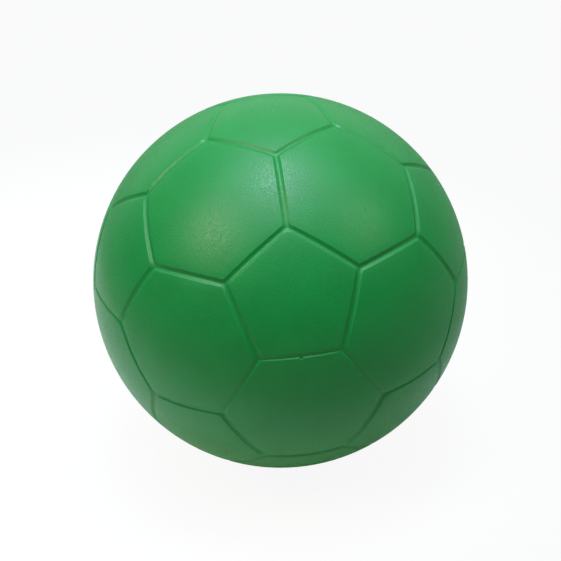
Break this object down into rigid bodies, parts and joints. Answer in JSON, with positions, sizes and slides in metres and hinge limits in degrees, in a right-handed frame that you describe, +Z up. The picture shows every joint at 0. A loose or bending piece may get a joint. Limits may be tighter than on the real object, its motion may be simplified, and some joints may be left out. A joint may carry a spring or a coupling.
{
  "type": "foam ball",
  "caption": "Soft moulded foam play ball with a grained satin skin and shallow grooves in a football panel pattern, at rest on a small flat.",
  "frame": {"origin": "on the floor under the ball's centre, in the middle of the flat it rests on", "axes": "+Z up through the middles of the top and bottom five-sided panels, -Y towards the front, where a five-sided panel of the upper half faces"},
  "size_m": [0.1996, 0.1996, 0.1995],
  "materials": {
    "skin": "satin moulded polyurethane coating with a fine leathery grain",
    "foam": "open-pored poured polyurethane foam"
  },
  "bodies": {
    "root": {"foam_core": "foam", "upper_skin": "skin", "lower_skin": "skin"}
  },
  "joints": []
}
